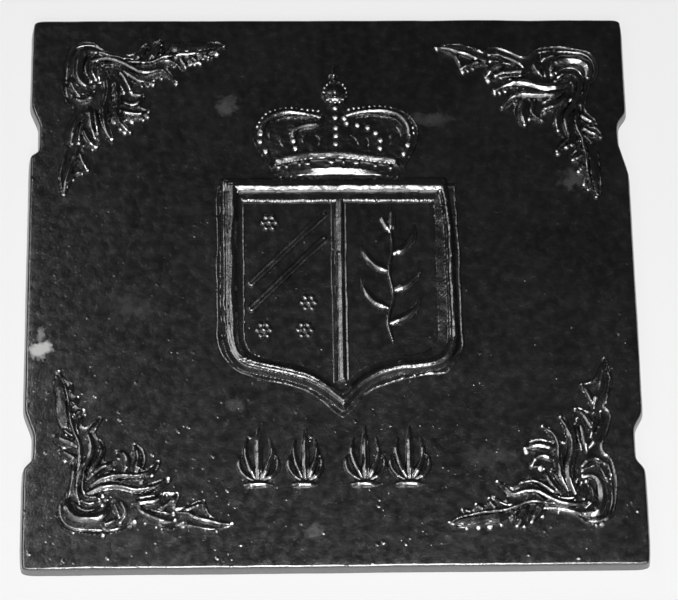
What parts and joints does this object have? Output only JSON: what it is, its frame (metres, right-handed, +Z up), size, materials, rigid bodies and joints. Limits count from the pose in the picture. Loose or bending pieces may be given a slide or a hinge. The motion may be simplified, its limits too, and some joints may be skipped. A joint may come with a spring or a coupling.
{
  "type": "fireback",
  "caption": "Cast iron fireback: drafted rectangular slab with leaf corners, an arched crown over a divided shield, and edge notches.",
  "frame": {"origin": "middle of the bounding box's underside: halfway across and through the part, at the slab's lower edge", "axes": "+X to the right seen from the front, +Y towards the wall behind, +Z up"},
  "size_m": [0.606, 0.026, 0.573],
  "materials": {
    "iron": "black stove polish, glossy over a cast skin"
  },
  "bodies": {
    "root": {"plate": "iron", "corner_ornament_top_left": "iron", "corner_ornament_top_right": "iron", "corner_ornament_bottom_right": "iron", "corner_ornament_bottom_left": "iron", "frame_top_rail": "iron", "frame_left_stile": "iron", "frame_right_stile": "iron", "frame_left_base": "iron", "frame_right_base": "iron", "shield_divider": "iron", "left_bends": "iron", "left_rosettes": "iron", "right_stem": "iron", "right_leaves": "iron", "crown_lining": "iron", "crown_circlet": "iron", "crown_jewels": "iron", "crown_arches": "iron", "crown_pearls": "iron", "crown_orb": "iron", "crown_cross": "iron", "palmette_1": "iron", "palmette_2": "iron", "palmette_3": "iron", "palmette_4": "iron"}
  },
  "joints": []
}
